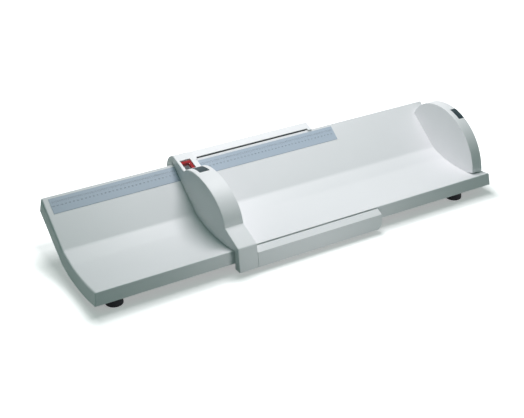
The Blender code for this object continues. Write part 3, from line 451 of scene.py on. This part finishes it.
class BOARD_OT_stops(bpy.types.Operator):
    """Soften the stops behind the rear skirt."""

    bl_idname = "board.stops"
    bl_label = "End Stops"

    def execute(self, context):
        radius = context.scene.board_sizes.trim_edge
        for node in ("end_stop_left", "end_stop_right"):
            bm = merged_solid(node)
            round_edges(bm, is_corner, radius, segments=2)
            piece_from(bm, node + "_block", "board", finish("pale_plastic"), "pale_moulding", node)
        return {"FINISHED"}


class BOARD_OT_feet(bpy.types.Operator):
    """Round the rubber feet and finish their screws."""

    bl_idname = "board.feet"
    bl_label = "Feet"

    def execute(self, context):
        radius = context.scene.board_sizes.foot_edge
        for place in ("front_left", "front_right", "rear_left", "rear_right"):
            self.soften_pad("foot_" + place, radius)
            dress("foot_screw_" + place, finish("drawn_steel"))
        return {"FINISHED"}

    def soften_pad(self, node, radius):
        """Softened copy of one foot, left plain round its screw."""
        low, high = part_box(node)
        centre = (low + high) / 2
        inner = (high.x - low.x) * FOOT_ROUND_FROM
        bm = merged_solid(node)

        def is_outer(edge):
            spots = [(vert.co - centre).xy.length for vert in edge.verts]
            return is_corner(edge) and min(spots) > inner

        round_edges(bm, is_outer, radius, segments=4)
        piece_from(bm, node + "_pad", "board", finish("black_rubber"), "black_rubber", node)


class BOARD_OT_scale(bpy.types.Operator):
    """Finish the scale's film and print its ticks and numbers."""

    bl_idname = "board.scale"
    bl_label = "Scale"

    def execute(self, context):
        dress("scale_strip", finish("scale_film"))
        sizes = context.scene.board_sizes
        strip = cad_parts["scale_strip"].data
        normal = max((face.normal for face in strip.polygons), key=lambda one: one.z)
        across = Vector((1.0, 0.0, 0.0))
        upward = normal.cross(across)
        width = (STRIP_HIGH.y - STRIP_LOW.y) / upward.y
        lower_edge = Vector((0.0, STRIP_HIGH.y, STRIP_HIGH.z)) - upward * width
        zero_x = self.zero_place()
        first = math.ceil((zero_x - STRIP_HIGH.x) / MILLIMETRE) + BARE_MARKS
        last = math.floor((zero_x - STRIP_LOW.x) / MILLIMETRE) - BARE_MARKS
        start = width * TICK_START
        bm = bmesh.new()
        for mark in range(first, last + 1):
            reach = sizes.millimetre_tick
            if mark % HALF_STEP == 0:
                reach = sizes.half_tick
            if mark % CENTIMETRE_STEP == 0:
                reach = sizes.centimetre_tick
            spot = lower_edge + upward * (start - reach / 2)
            spot.x = zero_x - mark * MILLIMETRE
            stand = Matrix((across, upward, normal)).transposed().to_4x4()
            stand.translation = spot + normal * sizes.print_height / 2
            size = Matrix.Diagonal((sizes.tick_width, reach, sizes.print_height, 1.0))
            bmesh.ops.create_cube(bm, size=1.0, matrix=stand @ size)
            if mark % CENTIMETRE_STEP == 0:
                stand.translation += upward * (-reach / 2 - sizes.digit_height)
                self.print_number(bm, str(mark // CENTIMETRE_STEP), stand)
        piece_from(bm, "scale_print", "board", finish("scale_ink"), None)
        return {"FINISHED"}

    def zero_place(self):
        """Where the scale's zero would lie, so that the index reads head face to foot face."""
        reading = HEAD_LOW.x - SLIDE_HIGH.x
        return INDEX_HIGH.x - INDEX_BAR + reading

    def print_number(self, bm, words, stand):
        """Add one number to the print."""
        sizes = bpy.context.scene.board_sizes
        curve = bpy.data.curves.new("number", "FONT")
        curve.body = words
        curve.size = sizes.digit_height
        curve.extrude = sizes.print_height / 2
        curve.resolution_u = DIGIT_CURVE_STEPS
        curve.align_x = "CENTER"
        curve.align_y = "CENTER"
        text = bpy.data.objects.new("number", curve)
        bpy.context.scene.collection.objects.link(text)
        mesh = bpy.data.meshes.new_from_object(text.evaluated_get(bpy.context.evaluated_depsgraph_get()))
        mesh.transform(stand)
        bm.from_mesh(mesh)
        bpy.data.objects.remove(text, do_unlink=True)
        bpy.data.meshes.remove(mesh)
        bpy.data.curves.remove(curve)


class BOARD_OT_head_piece(bpy.types.Operator):
    """Soften the head piece and its key, and finish the latch inside."""

    bl_idname = "board.head_piece"
    bl_label = "Head Piece"

    def execute(self, context):
        sizes = context.scene.board_sizes
        bm = merged_solid("head_piece")

        def is_side_edge(edge):
            at_side = lies_at(edge, 0, HEAD_LOW.x) or lies_at(edge, 0, HEAD_HIGH.x)
            return is_corner(edge) and at_side and not looks_down(edge)

        round_edges(bm, is_side_edge, sizes.head_edge, segments=4)
        piece_from(bm, "head_shell", "board", finish("pale_plastic"), "pale_moulding", "head_piece")
        key_from("head_key", "head_key", sizes.key_edge)
        dress("head_latch", finish("glide_plastic"))
        dress("head_latch_pin", finish("drawn_steel"))
        dress("head_key_spring", finish("drawn_steel"))
        return {"FINISHED"}


def key_from(node, body, radius):
    """Softened copy of a key, rounded on its plate and left plain on its stem."""
    low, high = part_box(node)
    middle = (low.z + high.z) / 2
    bm = merged_solid(node)

    def is_plate_edge(edge):
        return is_corner(edge) and all(vert.co.z > middle for vert in edge.verts) and not looks_down(edge)

    round_edges(bm, is_plate_edge, radius, segments=3)
    return piece_from(bm, node + "_cap", body, finish("slate_plastic"), "dark_key", node)


class BOARD_OT_foot_piece(bpy.types.Operator):
    """Soften the sliding foot piece."""

    bl_idname = "board.foot_piece"
    bl_label = "Foot Piece"

    def execute(self, context):
        sizes = context.scene.board_sizes
        bm = merged_solid("foot_piece")
        brow_end = FRONT_GUARD_LOW.y + BROW_DEPTH

        def is_left_edge(edge):
            brow = runs_along(edge, 0) and edge.verts[0].co.y < brow_end
            outline = lies_at(edge, 0, SLIDE_LOW.x)
            return is_corner(edge) and (brow or outline) and not looks_down(edge)

        def is_right_edge(edge):
            outline = lies_at(edge, 0, SLIDE_HIGH.x) and not rims_a_hole(edge)
            return is_corner(edge) and outline and not looks_down(edge)

        round_edges(bm, is_left_edge, sizes.slide_left, segments=4)
        round_edges(bm, is_right_edge, sizes.slide_right, segments=3)
        piece_from(bm, "foot_piece_shell", "slider", finish("pale_plastic"), "pale_moulding", "foot_piece")
        return {"FINISHED"}


class BOARD_OT_guards(bpy.types.Operator):
    """Soften the two guards, groove the front one's joint with the foot piece and finish the pins."""

    bl_idname = "board.guards"
    bl_label = "Guards"

    def execute(self, context):
        sizes = context.scene.board_sizes

        def is_seam(edge):
            forward = any(face.normal.y < -LOOKS for face in edge.link_faces)
            outline = lies_at(edge, 0, FRONT_GUARD_LOW.x) and not rims_a_hole(edge)
            return is_corner(edge) and outline and forward

        def is_outline(edge):
            far_end = max(vert.co.x for vert in edge.verts)
            beyond_seam = far_end > FRONT_GUARD_LOW.x + 2 * sizes.guard_seam
            return is_corner(edge) and beyond_seam and not looks_down(edge)

        for node in ("front_guard", "rear_guard"):
            bm = merged_solid(node)
            if node == "front_guard":
                round_edges(bm, is_seam, sizes.guard_seam, segments=3)
            round_edges(bm, is_outline, sizes.guard_edge, segments=3)
            piece_from(bm, node + "_rail", "slider", finish("pale_plastic"), "pale_moulding", node)
            for end in ("upper", "lower"):
                dress(f"{node}_pin_{end}", finish("drawn_steel"))
        return {"FINISHED"}


class BOARD_OT_window(bpy.types.Operator):
    """Soften the red index frame and clear the window."""

    bl_idname = "board.window"
    bl_label = "Reading Window"

    def execute(self, context):
        bm = merged_solid("index_frame")
        round_edges(bm, is_corner, context.scene.board_sizes.trim_edge, segments=2)
        piece_from(bm, "index_bars", "slider", finish("red_plastic"), "red_index", "index_frame")
        dress("window_lens", finish("clear_window"))
        return {"FINISHED"}


class BOARD_OT_brake(bpy.types.Operator):
    """Soften the brake key and finish its shoe and spring."""

    bl_idname = "board.brake"
    bl_label = "Brake"

    def execute(self, context):
        key_from("brake_key", "brake", context.scene.board_sizes.key_edge)
        dress("brake_shoe", finish("black_rubber"))
        dress("brake_spring", finish("drawn_steel"))
        return {"FINISHED"}


class BOARD_OT_glides(bpy.types.Operator):
    """Finish the pads that the slide runs on."""

    bl_idname = "board.glides"
    bl_label = "Glides"

    def execute(self, context):
        nodes = [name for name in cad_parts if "glide" in name]
        for node in nodes:
            dress(node, finish("glide_plastic"))
        return {"FINISHED"}


# Stage

def seen_rays(tree):
    """One where a ray comes from the camera, a reflection or a clear piece, and nought elsewhere."""
    path = tree.nodes.new("ShaderNodeLightPath")
    total = path.outputs["Is Camera Ray"]
    for name in ("Is Glossy Ray", "Is Transmission Ray"):
        most = add_node(tree, "ShaderNodeMath", {"operation": "MAXIMUM"})
        tree.links.new(total, most.inputs[0])
        tree.links.new(path.outputs[name], most.inputs[1])
        total = most.outputs["Value"]
    return total


def softbox(name, place, aim, size, power):
    """A square lamp that looks at a point."""
    lamp = bpy.data.lights.new(name, "AREA")
    lamp.color = bpy.context.scene.board_stage.lamp_tint
    lamp.shape = "SQUARE"
    lamp.size = size
    lamp.energy = power
    stand = bpy.data.objects.new(name, lamp)
    stand.location = place
    stand.rotation_euler = (Vector(aim) - Vector(place)).to_track_quat("-Z", "Y").to_euler()
    stand.visible_camera = False
    bpy.context.scene.collection.objects.link(stand)


class BOARD_OT_stage(bpy.types.Operator):
    """Set up the floor, the light, the background and the camera."""

    bl_idname = "board.stage"
    bl_label = "Stage"

    def execute(self, context):
        settings = context.scene.board_stage
        self.lay_floor(settings)
        self.light_world(settings)
        softbox("top_light", *TOP_LAMP, settings.top_power)
        softbox("front_light", *FRONT_LAMP, settings.front_power)
        self.place_camera(context.scene)
        context.scene.view_settings.view_transform = "Standard"
        return {"FINISHED"}

    def lay_floor(self, settings):
        """A wide floor that shows white and keeps the shadow."""
        bm = bmesh.new()
        bmesh.ops.create_grid(bm, x_segments=1, y_segments=1, size=FLOOR_SIZE)
        mesh = bpy.data.meshes.new("floor")
        bm.to_mesh(mesh)
        bm.free()
        floor = bpy.data.objects.new("floor", mesh)
        bpy.context.scene.collection.objects.link(floor)
        material = bpy.data.materials.new("floor")
        material.use_nodes = True
        tree = material.node_tree
        tree.nodes.clear()
        bounce = add_node(tree, "ShaderNodeBsdfDiffuse", Color=(*settings.floor_bounce, 1.0))
        shown = add_node(tree, "ShaderNodeBsdfDiffuse", Color=FLOOR_COLOUR)
        white = tree.nodes.new("ShaderNodeEmission")
        place = tree.nodes.new("ShaderNodeTexCoord").outputs["Object"]
        fade = add_node(tree, "ShaderNodeMapRange", From_Min=FLOOR_NEAR, From_Max=FLOOR_FAR,
                        To_Min=settings.floor_white, To_Max=1.0)
        tree.links.new(self.distance_from_board(tree, place), fade.inputs["Value"])
        tree.links.new(fade.outputs["Result"], white.inputs["Strength"])
        both = tree.nodes.new("ShaderNodeAddShader")
        tree.links.new(shown.outputs[0], both.inputs[0])
        tree.links.new(white.outputs[0], both.inputs[1])
        mix = tree.nodes.new("ShaderNodeMixShader")
        tree.links.new(seen_rays(tree), mix.inputs[0])
        tree.links.new(bounce.outputs[0], mix.inputs[1])
        tree.links.new(both.outputs[0], mix.inputs[2])
        out = tree.nodes.new("ShaderNodeOutputMaterial")
        tree.links.new(mix.outputs[0], out.inputs["Surface"])
        mesh.materials.append(material)

    def distance_from_board(self, tree, place):
        """How far a point of the floor lies outside the board's box."""
        nothing = (0.0, 0.0, 0.0)
        for operation, other in (("ABSOLUTE", nothing), ("SUBTRACT", CAD_BOX[1]), ("MAXIMUM", nothing)):
            step = add_node(tree, "ShaderNodeVectorMath", {"operation": operation})
            tree.links.new(place, step.inputs[0])
            step.inputs[1].default_value = other
            place = step.outputs["Vector"]
        distance = add_node(tree, "ShaderNodeVectorMath", {"operation": "LENGTH"})
        tree.links.new(place, distance.inputs[0])
        return distance.outputs["Value"]

    def light_world(self, settings):
        """A dim world that shows white behind the object."""
        world = bpy.data.worlds.new("studio")
        bpy.context.scene.world = world
        world.use_nodes = True
        tree = world.node_tree
        back = tree.nodes["Background"]
        glow = add_node(tree, "ShaderNodeMix", {"data_type": "RGBA"})
        glow.inputs["A"].default_value = (*settings.ambient, 1.0)
        glow.inputs["B"].default_value = WHITE
        tree.links.new(seen_rays(tree), glow.inputs["Factor"])
        tree.links.new(glow.outputs["Result"], back.inputs["Color"])

    def place_camera(self, scene):
        """The photograph's viewpoint."""
        data = bpy.data.cameras.new("camera")
        data.sensor_fit = "HORIZONTAL"
        data.sensor_width = SENSOR_WIDTH
        data.lens = SENSOR_WIDTH * LENS_PIXELS / IMAGE_WIDTH
        camera = bpy.data.objects.new("camera", data)
        camera.location = CAMERA_PLACE
        camera.rotation_euler = (CAMERA_TILT, 0.0, CAMERA_TURN)
        scene.collection.objects.link(camera)
        scene.camera = camera


PIECES = (BOARD_OT_tray, BOARD_OT_stops, BOARD_OT_feet, BOARD_OT_scale, BOARD_OT_head_piece,
          BOARD_OT_foot_piece, BOARD_OT_guards, BOARD_OT_window, BOARD_OT_brake, BOARD_OT_glides,
          BOARD_OT_stage)


class BOARD_PT_sidebar(bpy.types.Panel):
    """Lists the steps that build the board."""

    bl_label = "Measuring Board"
    bl_space_type = "VIEW_3D"
    bl_region_type = "UI"
    bl_category = "Board"

    def draw(self, context):
        for piece in PIECES:
            self.layout.operator(piece.bl_idname)
        for group in (context.scene.board_sizes, context.scene.board_colours, context.scene.board_stage):
            box = self.layout.box()
            for key in group.__annotations__:
                box.prop(group, key)


CLASSES = (BoardSizes, BoardColours, StageSettings, *PIECES, BOARD_PT_sidebar)


def register():
    """Make the settings, steps and panel known."""
    for item in CLASSES:
        bpy.utils.register_class(item)
    bpy.types.Scene.board_sizes = bpy.props.PointerProperty(type=BoardSizes)
    bpy.types.Scene.board_colours = bpy.props.PointerProperty(type=BoardColours)
    bpy.types.Scene.board_stage = bpy.props.PointerProperty(type=StageSettings)


def unregister():
    """Take them away again."""
    del bpy.types.Scene.board_stage
    del bpy.types.Scene.board_colours
    del bpy.types.Scene.board_sizes
    for item in reversed(CLASSES):
        bpy.utils.unregister_class(item)


def main():
    """Build every piece and the stage."""
    register()
    for piece in PIECES:
        group, step = piece.bl_idname.split(".")
        getattr(getattr(bpy.ops, group), step)()


if __name__ == "__main__":
    main()
